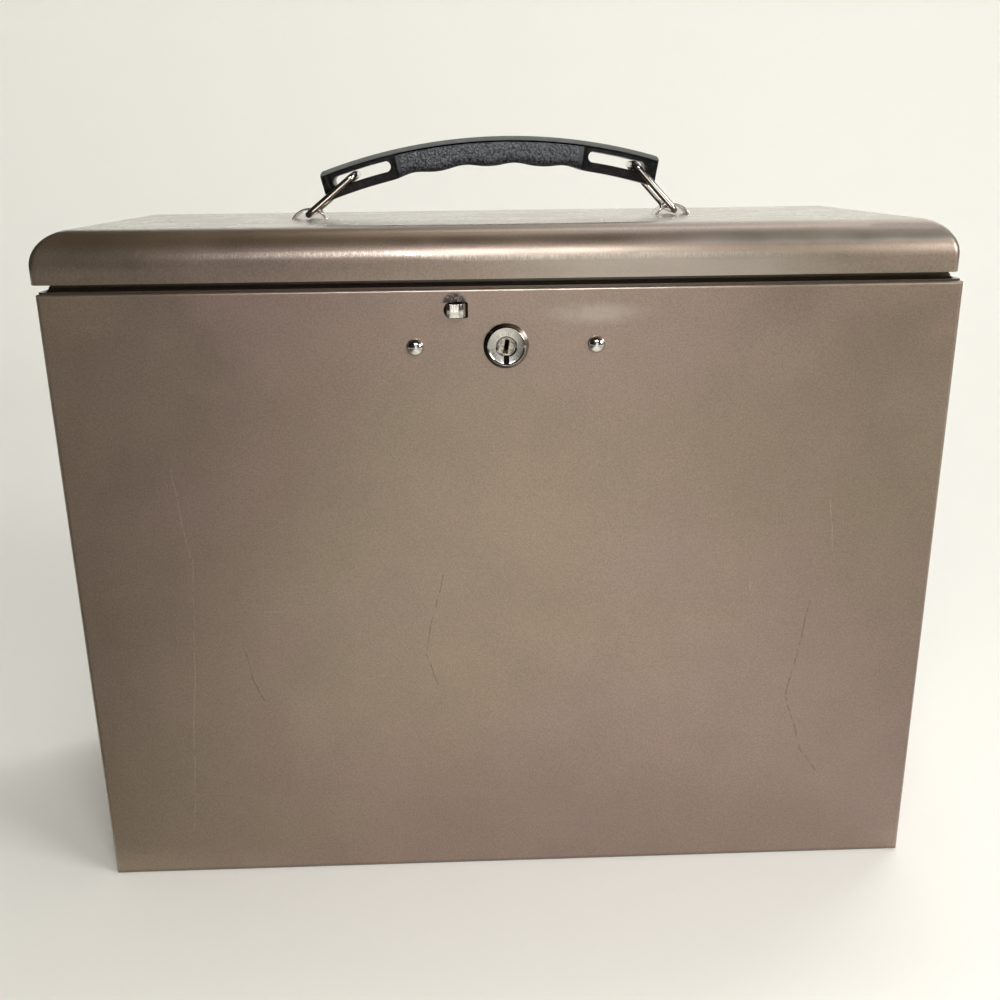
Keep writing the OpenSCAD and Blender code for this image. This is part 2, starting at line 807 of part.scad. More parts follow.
// Places a piece drawn round the arch's centre where the handle stands
module on_arch() {
    translate([arch_x, 0, arch_z])
        rotate([0, -handle_tilt, 0])
            children();
}

// Sweeps a section, drawn as radius and width, along the arch between two angles
module arch_sweep(a0, a1) {
    rotate([90, 0, 0])
        rotate([0, 0, 90 - a1])
            rotate_extrude(angle = a1 - a0, $fn = 180)
                children();
}

module ring_section(r0, r1, w) {
    translate([r0, -w / 2])
        square([r1 - r0, w]);
}

// Smooth core of the handle: top band, slotted ends and the rib inside the grip
module handle_core() color("#1d1e20") {
    top_r = 2.6;
    on_arch()
        difference() {
            union() {
                arch_sweep(-end_angle - end_extra, end_angle + end_extra)
                    ring_section(arch_r - band_t, arch_r, band_w);
                arch_sweep(-end_angle - end_extra, -grip_angle)
                    ring_section(arch_r - handle_t, arch_r - band_t / 2, core_w);
                arch_sweep(grip_angle, end_angle + end_extra)
                    ring_section(arch_r - handle_t, arch_r - band_t / 2, core_w);
                arch_sweep(-grip_angle - 0.1, grip_angle + 0.1)
                    ring_section(arch_r - handle_t + 3, arch_r - band_t / 2, core_w - 6);
            }
            for (side = [-1, 1]) {
                arch_sweep(side * slot_mid_angle - slot_angle + slot_round,
                           side * slot_mid_angle + slot_angle - slot_round)
                    ring_section(slot_mid_r - link_slot_h / 2, slot_mid_r + link_slot_h / 2,
                                 core_w + 2 * cut);
                for (end = [-1, 1])
                    rotate([0, side * slot_mid_angle + end * (slot_angle - slot_round), 0])
                        translate([0, 0, slot_mid_r])
                            rotate([90, 0, 0])
                                cylinder(r = link_slot_h / 2, h = core_w + 2 * cut, center = true);
                rotate([0, side * end_angle, 0])
                    translate([0, 0, arch_r]) {
                        corner_cut(side, top_r);
                        rotate([0, side * (end_lean - end_angle), 0])
                            translate([side * handle_t, 0, 0])
                                cube([2 * handle_t, grip_w, 4 * handle_t], center = true);
                    }
            }
        }
}

// Cutter that rounds the handle's upper end corner, between the arch and the leaning end face
module corner_cut(side, r) {
    lean = end_angle - end_lean;
    x = r * (1 - sin(lean)) / cos(lean);
    rotate([90, 0, 0])
        linear_extrude(grip_w + 2 * cut, center = true)
            difference() {
                translate([side > 0 ? -x : -cut, -r * (1 - sin(lean))])
                    square([x + cut, r + cut]);
                translate([-side * x, -r])
                    circle(r);
            }
}

// Grained grip under the band, hollowed for four fingers
module handle_grip() color("#26272a") {
    round_r = 4;
    on_arch()
        difference() {
            arch_sweep(-grip_angle, grip_angle)
                difference() {
                    union() {
                        ring_section(arch_r - handle_t + round_r, arch_r - band_t - fit, grip_w);
                        ring_section(arch_r - handle_t, arch_r - band_t - fit, grip_w - 2 * round_r);
                        for (y = [-1, 1])
                            translate([arch_r - handle_t + round_r, y * (grip_w / 2 - round_r)])
                                circle(round_r);
                    }
                    ring_section(arch_r - handle_t + 3 - fit, arch_r, core_w - 6 + 2 * fit);
                }
            for (i = [0 : hollow_count - 1])
                rotate([0, (i - (hollow_count - 1) / 2) * hollow_angle, 0])
                    translate([0, 0, arch_r - handle_t + hollow_depth - hollow_r])
                        rotate([90, 0, 0])
                            cylinder(r = hollow_r, h = grip_w + 2 * cut, center = true, $fn = 180);
        }
}

body_wrap();
base_pan();
neck_rim();
body_hinge_leaf(-1);  // body_hinge_leaf_left
body_hinge_leaf(1);  // body_hinge_leaf_right
hinge_pin(-1);  // hinge_pin_left
hinge_pin(1);  // hinge_pin_right
latch_plate();
dome_rivet(-1);  // dome_rivet_left
dome_rivet(1);  // dome_rivet_right
friction_spring();
lock_barrel();
barrel_nut();
lock_plug();
lock_wafers();
lock_cam();
cam_screw();
catch_slide();
lid_shell();
lid_strike();
lid_hinge_leaf(-1);  // lid_hinge_leaf_left
lid_hinge_leaf(1);  // lid_hinge_leaf_right
saddle(-1);  // saddle_left
saddle(1);  // saddle_right
link(-1);  // link_left
link(1);  // link_right
handle_core();
handle_grip();
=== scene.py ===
import math

import bmesh
import bpy
from mathutils import Matrix, Vector


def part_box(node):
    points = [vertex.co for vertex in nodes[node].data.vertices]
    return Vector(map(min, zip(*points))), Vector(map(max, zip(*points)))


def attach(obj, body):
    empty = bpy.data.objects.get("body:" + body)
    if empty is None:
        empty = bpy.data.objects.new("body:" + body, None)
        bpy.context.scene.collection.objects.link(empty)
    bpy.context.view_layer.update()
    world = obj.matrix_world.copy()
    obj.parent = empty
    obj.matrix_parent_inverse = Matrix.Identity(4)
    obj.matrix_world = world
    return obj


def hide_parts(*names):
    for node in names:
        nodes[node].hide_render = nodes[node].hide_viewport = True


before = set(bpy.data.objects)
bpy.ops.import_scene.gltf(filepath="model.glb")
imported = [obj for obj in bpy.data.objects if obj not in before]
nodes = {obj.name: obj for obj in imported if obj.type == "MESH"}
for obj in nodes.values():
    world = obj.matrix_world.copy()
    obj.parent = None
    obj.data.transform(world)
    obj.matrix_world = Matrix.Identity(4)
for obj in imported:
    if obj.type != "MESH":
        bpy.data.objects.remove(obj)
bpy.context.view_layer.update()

# Camera
# Where the photographer stood: half a metre in front of the box, a little left
# of its middle and just above the lid, looking down by eighteen degrees.
MM = 0.001
eye = Vector((-16.7, -503.4, 315.6)) * MM
pitch, yaw, roll = math.radians(-17.69), math.radians(-1.81), math.radians(-0.68)
photo_width_px = 1000
focal_px = 1059.4

camera_data = bpy.data.cameras.new("camera")
camera_data.sensor_width = 36
camera_data.lens = camera_data.sensor_width * focal_px / photo_width_px
camera_data.clip_start = 0.02
camera = bpy.data.objects.new("camera", camera_data)
bpy.context.collection.objects.link(camera)
camera.matrix_world = (
    Matrix.Translation(eye)
    @ Matrix.Rotation(yaw, 4, "Z")
    @ Matrix.Rotation(pitch + math.pi / 2, 4, "X")
    @ Matrix.Rotation(roll, 4, "Z")
)
bpy.context.scene.camera = camera
bpy.context.scene.view_settings.view_transform = "Standard"

# Backdrop and light
# One pale seamless sweep that rises all round, so that every side is seen
# against the same plain ground, lit by soft lamps and a pale sky. A dark hood in
# front and above gives the metal and the enamel a dark room to mirror.


class Value:
    """A shader socket that takes part in ordinary sums."""

    def __init__(self, finish, socket):
        self.finish = finish
        self.socket = socket

    def sum(self, operation, *others):
        inputs = {0: self}
        inputs.update({i + 1: other for i, other in enumerate(others)})
        return self.finish.node("ShaderNodeMath", inputs, operation=operation)

    def __add__(self, other):
        return self.sum("ADD", other)

    def __mul__(self, other):
        return self.sum("MULTIPLY", other)

    __radd__ = __add__
    __rmul__ = __mul__

    def __sub__(self, other):
        return self.sum("SUBTRACT", other)

    def __rsub__(self, other):
        return (self * -1) + other

    def __pow__(self, other):
        return self.sum("POWER", other)

    def __abs__(self):
        return self.sum("ABSOLUTE")

    def smallest(self, other):
        return self.sum("MINIMUM", other)

    def largest(self, other):
        return self.sum("MAXIMUM", other)

    def ramp(self, low, high, start=0.0, end=1.0):
        """Goes smoothly from start to end as this value goes from low to high."""
        return self.finish.node(
            "ShaderNodeMapRange",
            {"Value": self, "From Min": low, "From Max": high, "To Min": start, "To Max": end},
            interpolation_type="SMOOTHSTEP",
        )


class Finish:
    """A material, and the way its nodes are added and joined."""

    def __init__(self, name, base=(0.5, 0.5, 0.5), **sockets):
        self.material = bpy.data.materials.new(name)
        self.material.use_nodes = True
        self.tree = self.material.node_tree
        self.shader = self.tree.nodes["Principled BSDF"]
        self.set("Base Color", base)
        for socket, value in sockets.items():
            self.set(socket.replace("_", " ").title().replace("Ior", "IOR"), value)

    def set(self, name, value):
        socket = self.shader.inputs[name]
        if isinstance(value, Value):
            self.tree.links.new(value.socket, socket)
        elif isinstance(value, tuple):
            socket.default_value = (*value, 1)
        else:
            socket.default_value = value

    def node(self, kind, inputs=None, output=0, **settings):
        made = self.tree.nodes.new(kind)
        for name, value in settings.items():
            setattr(made, name, value)
        for name, value in (inputs or {}).items():
            socket = made.inputs[name]
            if isinstance(value, Value):
                self.tree.links.new(value.socket, socket)
            elif socket.type == "RGBA" and isinstance(value, tuple):
                socket.default_value = (*value, 1)
            else:
                socket.default_value = value
        return Value(self, made.outputs[output])

    def place(self):
        return self.node("ShaderNodeTexCoord", output="Object")

    def axes(self):
        parts = self.node("ShaderNodeSeparateXYZ", {0: self.place()}).socket.node
        return [Value(self, parts.outputs[axis]) for axis in "XYZ"]

    def point(self, x, y, z):
        return self.node("ShaderNodeCombineXYZ", {0: x, 1: y, 2: z})

    def stretch(self, *scale):
        return self.node("ShaderNodeMapping", {"Vector": self.place(), "Scale": scale})

    def noise(self, scale, detail=2.0, rough=0.5, place=None, warp=0.0):
        return self.node(
            "ShaderNodeTexNoise",
            {"Vector": place or self.place(), "Scale": scale, "Detail": detail,
             "Roughness": rough, "Distortion": warp},
        )

    def mix(self, amount, first, second):
        return self.node(
            "ShaderNodeMix", {0: amount, 6: first, 7: second}, output=2, data_type="RGBA"
        )

    def shade(self, tone, factor):
        """A colour made darker or lighter by a factor near 1."""
        return self.node(
            "ShaderNodeMix", {0: 1.0, 6: tone, 7: factor}, output=2,
            data_type="RGBA", blend_type="MULTIPLY",
        )

    def relief(self, height, depth):
        """Raises the surface by height, a value of 0 to 1, times depth in metres."""
        bump = {"Height": height, "Distance": depth, "Strength": 1.0}
        self.set("Normal", self.node("ShaderNodeBump", bump))

    def cover(self, *pieces):
        for piece in pieces:
            piece.data.materials.clear()
            piece.data.materials.append(self.material)


def colour(red, green, blue):
    """A colour as a paint chart gives it, 0 to 255, in the renderer's linear values."""
    parts = (red / 255, green / 255, blue / 255)
    return tuple(c / 12.92 if c <= 0.04045 else ((c + 0.055) / 1.055) ** 2.4 for c in parts)


def hold(piece):
    """Makes a piece the only one chosen."""
    bpy.ops.object.select_all(action="DESELECT")
    if piece:
        piece.select_set(True)
        bpy.context.view_layer.objects.active = piece


def settle(piece):
    """Puts the piece's place into its mesh and leaves its object at the origin."""
    hold(piece)
    bpy.ops.object.transform_apply(location=True, rotation=True, scale=True)


sweep_reach, sweep_rise, sweep_bend = 1.9, 2.4, 0.7

hold(None)
bpy.ops.mesh.primitive_circle_add(
    vertices=96, radius=sweep_reach - sweep_bend, fill_type="NGON", location=(0, 0, 0)
)
sweep = bpy.context.object
sweep.name = "sweep"
bpy.ops.object.mode_set(mode="EDIT")
bpy.ops.mesh.select_mode(type="EDGE")
bpy.ops.mesh.select_all(action="SELECT")
previous = (sweep_reach - sweep_bend, 0.0)
bend_steps = 12
for step in range(1, bend_steps + 2):
    turn = min(step, bend_steps) / bend_steps * math.pi / 2
    reach = sweep_reach - sweep_bend + sweep_bend * math.sin(turn)
    height = sweep_bend - sweep_bend * math.cos(turn) if step <= bend_steps else sweep_rise
    bpy.ops.mesh.extrude_edges_move()
    grow = reach / previous[0]
    bpy.ops.transform.resize(value=(grow, grow, 1))
    bpy.ops.transform.translate(value=(0, 0, height - previous[1]))
    previous = (reach, height)
bpy.ops.object.mode_set(mode="OBJECT")
bpy.ops.object.shade_smooth()
settle(sweep)
paper = Finish("pale_paper", colour(238, 237, 231), roughness=0.85)
paper.set("Specular IOR Level", 0.2)
paper.cover(sweep)

hood_reach, hood_low, hood_back = 1.55, 0.06, 0.95
hold(None)
bpy.ops.mesh.primitive_uv_sphere_add(
    segments=48, ring_count=24, radius=hood_reach, location=(0, 0, 0.2)
)
hood = bpy.context.object
hood.name = "dark_hood"
settle(hood)
bpy.ops.object.mode_set(mode="EDIT")
for place, way in (((0, 0, hood_low), (0, 0, -1)), ((0.25 * hood_back, 0.97 * hood_back, 0), (0.25, 0.97, 0))):
    bpy.ops.mesh.select_all(action="SELECT")
    bpy.ops.mesh.bisect(plane_co=place, plane_no=way, clear_outer=True)
bpy.ops.object.mode_set(mode="OBJECT")
# A dark sheet on the floor in front, seen only in reflections, is painted shade: it stands in for shaded floor
# that the box mirrors, strongest at the left, weaker at the right and clear in the middle.
hold(None)
bpy.ops.mesh.primitive_plane_add(size=1, location=(0, -0.72, 0.001))
flag = bpy.context.object
flag.name = "floor_shade_flag"
flag.scale = (2.2, 1.26, 1)
settle(flag)
hood_cloth = Finish("hood_cloth", colour(34, 31, 27), roughness=0.9)
floor_shade_cloth = Finish("floor_shade_cloth", colour(34, 31, 27), roughness=0.9)
x, y, z = floor_shade_cloth.axes()
floor_shade_cloth.set("Alpha", x.ramp(-0.06, -0.32, 0.0, 0.85) + x.ramp(0.1, 0.32, 0.0, 0.5))
for piece, cloth in ((hood, hood_cloth), (flag, floor_shade_cloth)):
    for unseen in ("visible_camera", "visible_diffuse", "visible_shadow"):
        setattr(piece, unseen, False)
    cloth.cover(piece)


def lamp(name, place, target, size, power, tint):
    data = bpy.data.lights.new(name, "AREA")
    data.shape = "RECTANGLE"
    data.size, data.size_y = size
    data.energy = power
    data.color = tint
    made = bpy.data.objects.new(name, data)
    bpy.context.collection.objects.link(made)
    made.location = place
    made.rotation_mode = "QUATERNION"
    made.rotation_quaternion = (Vector(target) - Vector(place)).to_track_quat("-Z", "Y")


lamp("key_lamp", (1.1, -0.72, 0.7), (0, 0, 0.1), (0.6, 0.45), 11.5, (1.0, 0.98, 0.97))
lamp("window_lamp", (0.13, -1.38, 0.27), (0, 0, 0.15), (0.55, 0.54), 1.15, (1.0, 0.98, 0.97))
lamp("floor_lamp", (0.02, -0.6, 0.6), (0.0, -0.42, 0), (0.3, 0.2), 2.6, (1.0, 0.98, 0.97))
lamp("top_lamp", (0.62, 0.05, 1.15), (0.15, 0, 0.29), (0.3, 0.3), 0.36, (1.0, 1.0, 1.0))
lamp("wall_lamp", (0.7, 0.7, 1.9), (0.3, 1.9, 0.3), (1.8, 0.4), 22, (1.0, 1.0, 1.0))

world = bpy.data.worlds.new("sky")
bpy.context.scene.world = world
world.use_nodes = True
world.node_tree.nodes["Background"].inputs["Color"].default_value = (0.93, 0.95, 1.0, 1)
world.node_tree.nodes["Background"].inputs["Strength"].default_value = 0.08

# Body
# One sheet of mild steel, bent round and turned in at the top and bottom, then
# sprayed with a bronze enamel that has fine metal flecks. Years in an office
# left hairline scratches, a chipped edge over the catch and rubbed bends. The
# light streak along the top bend is partly a painted highlight, a light blotch
# near the top of the front is a painted reflection, and the bottom edge is
# darkened as painted shade.


def enamel(name, base, roughness):
    """Bronze metallic enamel: returns the finish and its tone before any wear."""
    paint = Finish(name, roughness=roughness, metallic=0.88, coat_weight=1.0, coat_roughness=0.25)
    red, green, blue = base
    olive = colour(red - 2, green - 1, blue - 7)
    rosy = colour(red + 2, green - 1, blue + 1)
    tone = paint.mix(paint.noise(7, 3).ramp(0.32, 0.68), olive, rosy)
    fleck = paint.noise(1500, 2, 0.7).ramp(0.25, 0.75, 0.86, 1.14)
    haze = paint.noise(45, 4, 0.6).ramp(0.3, 0.7, 0.97, 1.03)
    tone = paint.shade(tone, fleck * haze)
    ripple = paint.noise(320, 2) * 0.02 + paint.noise(9, 1) * 0.9
    paint.relief(ripple, 0.15 * MM)
    return paint, tone


def scratch(across, up, start, end, width):
    """How near a point of the front is to a scratch: 1 on it, 0 beside it."""
    run = (end[0] - start[0], end[1] - start[1])
    length = math.hypot(*run)
    off_x, off_z = across - start[0], up - start[1]
    along = (off_x * (run[0] / length ** 2) + off_z * (run[1] / length ** 2))
    along = along.largest(0).smallest(1)
    off_x, off_z = off_x - along * run[0], off_z - along * run[1]
    return ((off_x * off_x + off_z * off_z) ** 0.5).ramp(width, 0.2 * width)


def scratches(paint, lines, width, strength):
    """All the scratches of one kind, from lists of places in millimetres."""
    x, y, z = paint.axes()
    drift = (paint.noise(60, 3) - 0.5) * (2.4 * MM)
    across, up = x + drift, z + drift * 0.5
    mark = None
    for line in lines:
        for start, end in zip(line, line[1:]):
            start, end = ([v * MM for v in place] for place in (start, end))
            near = scratch(across, up, start, end, width)
            mark = near if mark is None else mark.largest(near)
    broken = paint.noise(260, 3, 0.7).ramp(0.36, 0.56)
    on_front = y.ramp(-75.5 * MM, -77 * MM)
    return mark * broken * on_front * strength


body_tone = (145, 127, 115)
body_paint, tone = enamel("body_enamel", body_tone, 0.42)
x, y, z = body_paint.axes()
light_lines = [
    [(-139.7, 195.8), (-137.0, 172), (-135.4, 155.9)],
    [(-134.2, 155.9), (-139, 96), (-143, 60), (-146.4, 22.4)],
    [(-64.2, 97.1), (-55.2, 99.3)],
    [(105.4, 142.9), (106.8, 133.5)],
    [(137.4, 181), (140.6, 153.7)],
    [(-105.7, 131.1), (-97.1, 130.8)],
]
dark_lines = [
    [(-28.2, 146.3), (-34.6, 120.6), (-36.3, 108.6), (-32.3, 93.7)],
    [(-115.8, 113.3), (-113.5, 99), (-109, 88.6)],
    [(132.8, 130.4), (129.2, 106.3), (125, 84), (134, 55.4), (141.8, 44.6)],
]
tone = body_paint.mix(
    scratches(body_paint, light_lines, 0.4 * MM, 0.26), tone, colour(190, 178, 160)
)
tone = body_paint.mix(
    scratches(body_paint, dark_lines, 0.4 * MM, 0.5), tone, colour(74, 66, 58)
)
off_x, off_z = (x + 20.6 * MM) * (1 / 5.2), (z - 262.6 * MM) * (1 / 4.0)
chip_spot = ((off_x * off_x + off_z * off_z) ** 0.5).ramp(1.05 * MM, 0.75 * MM)
chip_spot = chip_spot * z.ramp(262.3 * MM, 262.7 * MM)
chips = chip_spot * body_paint.noise(950, 4, 0.8).ramp(0.4, 0.47) * y.ramp(-76.5 * MM, -77 * MM)
tone = body_paint.mix(chips * 0.95, tone, colour(30, 25, 20))
# The top bend is lighter: rubbed wear and a painted highlight, stronger to the right.
bend_rub_and_highlight = z.ramp(266.2 * MM, 267.6 * MM) * body_paint.noise(90, 4, 0.7).ramp(0.3, 0.6, 0.35, 1.0)
bend_rub_and_highlight = bend_rub_and_highlight * x.ramp(-70 * MM, 20 * MM, 0.35, 1.0)
# A light blotch near the top of the front, right of the lock, is a painted reflection.
off_x, off_z = (x - 36 * MM) * (1 / 24), (z - 257.5 * MM) * (1 / 5.5)
painted_reflection_blotch = ((off_x * off_x + off_z * off_z) ** 0.5).ramp(1.1 * MM, 0.2 * MM)
painted_reflection_blotch = painted_reflection_blotch * body_paint.noise(120, 3, 0.6).ramp(0.3, 0.6, 0.5, 1.0) * y.ramp(-76 * MM, -77 * MM)
tone = body_paint.mix(painted_reflection_blotch * 0.35, tone, colour(196, 188, 178))
tone = body_paint.mix(bend_rub_and_highlight * 0.55, tone, colour(196, 184, 168))
# The bottom 2.5 mm of the body is darkened: painted shade along the bottom bend.
body_paint.set("Base Color", body_paint.shade(tone, z.ramp(0, 2.5 * MM, 0.45, 1.0)))
body_paint.set("Roughness", body_paint.noise(30, 4, 0.6).ramp(0.3, 0.7, 0.36, 0.46) - bend_rub_and_highlight * 0.08)
body_paint.cover(nodes["body_wrap"])

# Neck and base pan
# The neck is a rolled angle ring, spot welded to the body's shoulder, and the
# pan closes the bottom. Both have the same enamel in a darker tone: painted
# shade, for the neck in the gap under the lid.
shaded_inner_paint, tone = enamel("inner_shaded_enamel", (72, 60, 50), 0.5)
dust = shaded_inner_paint.noise(24, 4, 0.6).ramp(0.45, 0.75)
shaded_inner_paint.set("Base Color", shaded_inner_paint.mix(dust * 0.25, tone, colour(96, 84, 72)))
shaded_inner_paint.cover(nodes["base_pan"], nodes["neck_rim"])

# Hinges, latch plate, nut, cam, screw and strike
# Pressed steel parts with a dull zinc plating whose crystals show as faint
# patches, with fine brushing marks all over.
zinc = Finish("dull_zinc", metallic=1.0)
spangle = zinc.node(
    "ShaderNodeTexVoronoi", {"Vector": zinc.place(), "Scale": 420}, output="Distance"
)
brushed = zinc.noise(1, 3, 0.6, place=zinc.stretch(300, 300, 2600))
tone = zinc.mix(spangle.ramp(0.1, 0.7), colour(148, 148, 146), colour(182, 182, 178))
zinc.set("Base Color", zinc.shade(tone, brushed.ramp(0.3, 0.7, 0.9, 1.06)))
zinc.set("Roughness", zinc.noise(180, 3).ramp(0.3, 0.7, 0.32, 0.48))
zinc.relief(brushed, 0.02 * MM)
zinc.cover(*(nodes[name] for name in (
    "body_hinge_leaf_left", "body_hinge_leaf_right", "hinge_pin_left", "hinge_pin_right",
    "latch_plate", "barrel_nut", "lock_cam", "cam_screw", "lid_strike",
    "lid_hinge_leaf_left", "lid_hinge_leaf_right",
)))

# Friction spring and wafers
# A bowed strip of blued spring steel behind the slide, and the four stamped
# brass wafers that the key lifts inside the plug.
spring_steel = Finish("blued_spring_steel", metallic=1.0, roughness=0.3)
heat = spring_steel.noise(160, 2).ramp(0.35, 0.65)
spring_steel.set("Base Color", spring_steel.mix(heat, colour(120, 128, 140), colour(158, 152, 140)))
spring_steel.cover(nodes["friction_spring"])

brass = Finish("stamped_brass", metallic=1.0)
stain = brass.noise(700, 3, 0.6).ramp(0.35, 0.7)
brass.set("Base Color", brass.mix(stain, colour(138, 112, 62), colour(92, 70, 36)))
brass.set("Roughness", stain * 0.2 + 0.22)
brass.cover(nodes["lock_wafers"])

# Dome rivets
# Two nickel-plated mushroom-headed rivets, one each side of the lock, whose
# shanks go through the panel and hold the latch plate behind it.


def work(piece, kind, **settings):
    """Adds one modifier to a piece, sets it and applies it."""
    step = piece.modifiers.new(kind.lower(), kind)
    for name, value in settings.items():
        setattr(step, name, value)
    hold(piece)
    bpy.ops.object.modifier_apply(modifier=step.name)


def pick(piece, kind, wanted=lambda part: True):
    """Opens a piece for editing, with the wanted points, edges or faces chosen."""
    if piece.mode != "EDIT":
        hold(piece)
        bpy.ops.object.mode_set(mode="EDIT")
    bpy.ops.mesh.select_mode(type=kind)
    bpy.ops.mesh.select_all(action="DESELECT")
    mesh = bmesh.from_edit_mesh(piece.data)
    parts = {"VERT": mesh.verts, "EDGE": mesh.edges, "FACE": mesh.faces}[kind]
    for part in parts:
        if wanted(part):
            part.select_set(True)
    mesh.select_flush_mode()
    bmesh.update_edit_mesh(piece.data)


def close(piece, smooth=35):
    """Merges doubles, turns the faces outwards, and shades all but the sharp edges smoothly."""
    pick(piece, "VERT")
    bpy.ops.mesh.remove_doubles(threshold=0.002 * MM)
    bpy.ops.mesh.normals_make_consistent(inside=False)
    bpy.ops.object.mode_set(mode="OBJECT")
    bpy.ops.object.shade_smooth_by_angle(angle=math.radians(smooth))


def turned(name, place, profile, steps=64):
    """A piece turned on a lathe whose axis stands out of the front face at a place.

    The profile lists radius and height in millimetres, from the axis round to the axis.
    """
    front = nodes_front
    hold(None)
    mesh = bpy.data.meshes.new(name)
    mesh.from_pydata(
        [(place[0] + radius * MM, front - height * MM, place[1]) for radius, height in profile],
        [(i, i + 1) for i in range(len(profile) - 1)], [],
    )
    piece = bpy.data.objects.new(name, mesh)
    bpy.context.collection.objects.link(piece)
    pick(piece, "VERT")
    bpy.ops.mesh.spin(
        steps=steps, angle=2 * math.pi, center=(place[0], front, place[1]), axis=(0, 1, 0)
    )
    close(piece)
    return piece


nodes_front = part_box("body_wrap")[0][1]
lock_height = 245 * MM
rivet_pitch = 73.2 * MM
rivet_reach = 3.0
dome = [(0, rivet_reach)]
for step in range(1, 13):
    lean = math.radians(step * 7.5)
    dome.append((3.6 * math.sin(lean), rivet_reach * math.cos(lean) ** 0.9 if step < 12 else 0.12))
rivet_profile = dome + [(3.55, 0.0), (1.5, 0.0), (1.5, -1.6), (2.6, -1.6), (2.6, -2.4),
                        (2.3, -2.6), (0, -2.6)]

nickel = Finish("nickel_plate", metallic=1.0)
film = nickel.noise(240, 4, 0.6).ramp(0.42, 0.72)
pits = nickel.noise(2600, 2, 0.8).ramp(0.66, 0.74)
tone = nickel.mix(film * 0.5, colour(214, 211, 205), colour(172, 166, 154))
nickel.set("Base Color", nickel.mix(pits * 0.6, tone, colour(96, 88, 76)))
nickel.set("Roughness", film * 0.12 + pits * 0.3 + 0.09)
nickel.relief(nickel.noise(300, 2), 0.01 * MM)
for side, label in ((-1, "left"), (1, "right")):
    rivet = turned("rivet_dome_" + label, (side * rivet_pitch / 2, lock_height), rivet_profile, 48)
    nickel.cover(rivet)
    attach(rivet, "box")
    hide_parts("dome_rivet_" + label)

# Lock barrel
# A nickel-plated die casting, screwed in from the front: a coned bezel with a
# rolled lip, a brushed dish round the plug and a notch below the keyway.
barrel_profile = [
    (3.8, -14), (8.0, -14), (8.0, -0.05), (9.2, 0.0), (9.22, 0.3), (9.1, 0.6), (8.85, 0.85),
    (8.3, 1.9), (7.95, 2.6), (7.8, 2.85), (7.55, 2.98), (7.3, 2.9), (7.15, 2.7), (6.6, 2.5),
    (5.5, 2.2), (4.6, 2.03), (4.2, 1.98), (3.95, 1.9), (3.8, 1.75), (3.8, -14),
]
barrel = turned("lock_bezel", (0, lock_height), barrel_profile, 96)


def carve(piece, cutter, operation="DIFFERENCE"):
    """Cuts one piece with another, which is used up."""
    work(piece, "BOOLEAN", operation=operation, object=cutter, solver="EXACT")
    bpy.data.objects.remove(cutter)


def block(name, low, high):
    """A block between two corners in millimetres, to be worked further."""
    hold(None)
    low, high = Vector(low) * MM, Vector(high) * MM
    bpy.ops.mesh.primitive_cube_add(size=1, location=(low + high) / 2)
    piece = bpy.context.object
    piece.name = name
    piece.scale = high - low
    settle(piece)
    return piece


carve(barrel, block("notch", (-1.15, -81, 245 - 7.2), (1.15, -78.9, 245 - 3.2)))
close(barrel, 40)
lock_metal = Finish("lock_nickel", metallic=1.0)
x, y, z = lock_metal.axes()
rise = z - lock_height
around = rise.sum("ARCTAN2", x)
radius = (x * x + rise * rise) ** 0.5
rays = lock_metal.noise(1, 3, 0.7, place=lock_metal.point(around * 26, radius * 120, 0))
in_dish = radius.ramp(7.1 * MM, 6.7 * MM) * radius.ramp(4.2 * MM, 4.6 * MM)
film = lock_metal.noise(300, 4, 0.6).ramp(0.4, 0.7)
tone = lock_metal.mix(film * 0.4, colour(214, 211, 204), colour(166, 160, 148))
# Painted shade: the bezel's cone darker on its left, the notch and the gap round the plug near-black.
left_cone_shade = radius.ramp(7.4 * MM, 7.9 * MM) * x.ramp(6 * MM, -2 * MM, 0.4, 0.95)
notch = abs(x).ramp(1.2 * MM, 1.0 * MM) * rise.ramp(-3.6 * MM, -3.9 * MM) * rise.ramp(-7.4 * MM, -7.1 * MM)
lock_painted_shade = notch.largest((1 - in_dish) * radius.ramp(4.3 * MM, 4.0 * MM) * 0.8).largest(left_cone_shade * radius.ramp(9.15 * MM, 9.0 * MM))
tone = lock_metal.mix(lock_painted_shade, tone, colour(26, 23, 20))
lock_metal.set("Base Color", lock_metal.shade(tone, 1 - in_dish * rays.ramp(0.35, 0.65, 0.0, 0.32)))
lock_metal.set("Roughness", in_dish * rays.ramp(0.3, 0.7, 0.1, 0.3) + film * 0.08 + 0.1)
lock_metal.relief(rays * in_dish, 0.03 * MM)
lock_metal.cover(barrel)
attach(barrel, "box")
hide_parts("lock_barrel")

# Lock plug
# The turning part of the lock, satin nickel with a slanting keyway. A thin
# pressed ring on its face frames the keyway.
plug_metal = Finish("plug_nickel", metallic=1.0)
x, y, z = plug_metal.axes()
rise = z - lock_height
lean = math.radians(10)
across = abs(x * math.cos(lean) - rise * math.sin(lean))
along = abs(x * math.sin(lean) + rise * math.cos(lean))
